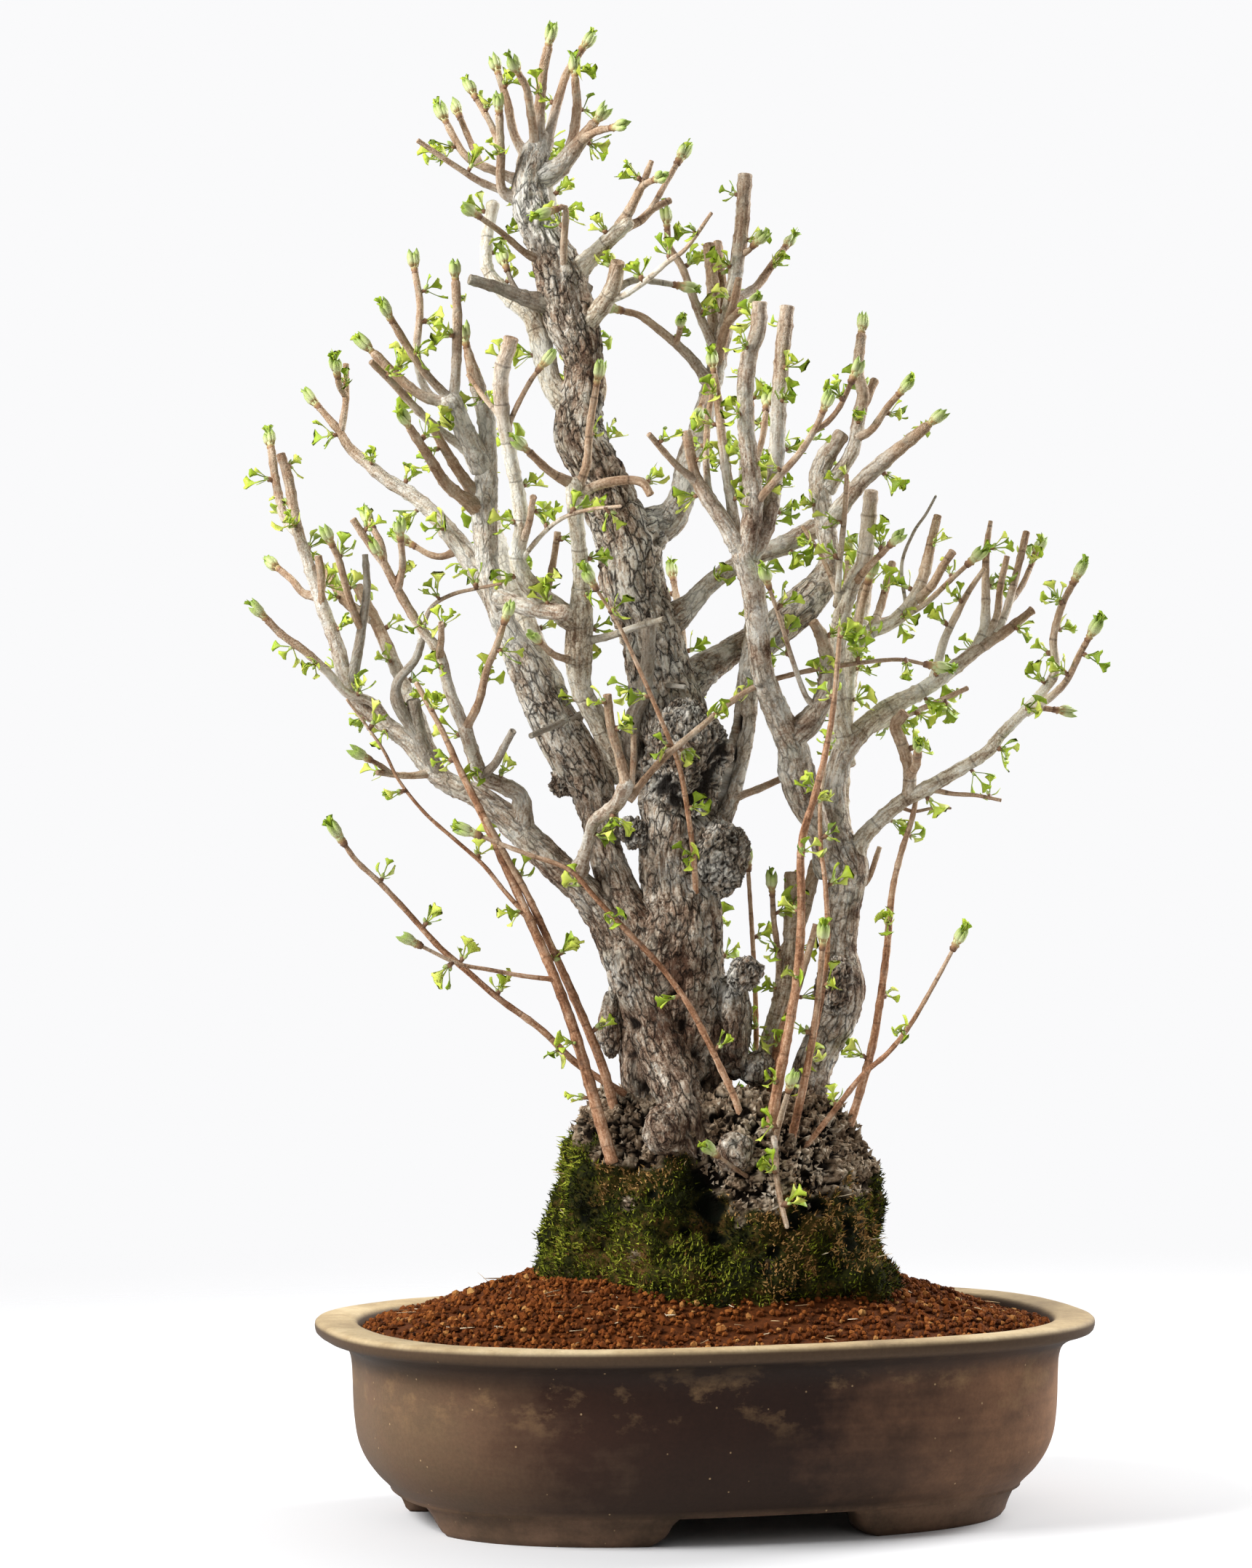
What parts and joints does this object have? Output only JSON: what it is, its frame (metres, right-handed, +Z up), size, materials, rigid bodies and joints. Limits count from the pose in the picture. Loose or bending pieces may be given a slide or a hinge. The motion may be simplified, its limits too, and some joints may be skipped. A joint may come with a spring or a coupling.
{
  "type": "ginkgo bonsai",
  "caption": "Old multi-stemmed ginkgo bonsai coming into leaf, on a mossy root base in a shallow oval unglazed pot with cut feet.",
  "frame": {"origin": "on the surface that the pot stands on, under the middle of the whole plant's box", "axes": "+X along the pot's length, +Y to its back, +Z up the tree"},
  "size_m": [0.517, 0.3556, 0.9185],
  "materials": {
    "bark": "rough",
    "twig": "rough",
    "shoot": "smooth",
    "stoneware": "matte",
    "soil": "rough",
    "screen": "matte"
  },
  "bodies": {
    "root": {"drain_screen_left": "screen", "drain_screen_right": "screen", "fork_limb": "twig", "front_right": "twig", "knee_right": "twig", "limb_left": "twig", "limb_low": "twig", "limb_right_low": "twig", "limb_right_up": "twig", "mid_limb": "twig", "middle": "twig", "old_stub": "twig", "pale_loop": "twig", "post_right": "twig", "pot": "stoneware", "rear_crown": "twig", "rear_left": "twig", "rear_middle": "twig", "rear_right": "twig", "rear_shoot": "shoot", "rear_stem": "twig", "rear_upper": "twig", "right_column": "twig", "shelf_right": "twig", "shoot_1": "shoot", "shoot_10": "shoot", "shoot_11": "shoot", "shoot_12": "shoot", "shoot_13": "shoot", "shoot_2": "shoot", "shoot_3": "shoot", "shoot_5": "shoot", "shoot_6": "shoot", "shoot_7": "shoot", "shoot_8": "shoot", "shoot_9": "shoot", "soil": "soil", "trunk": "bark"}
  },
  "joints": []
}
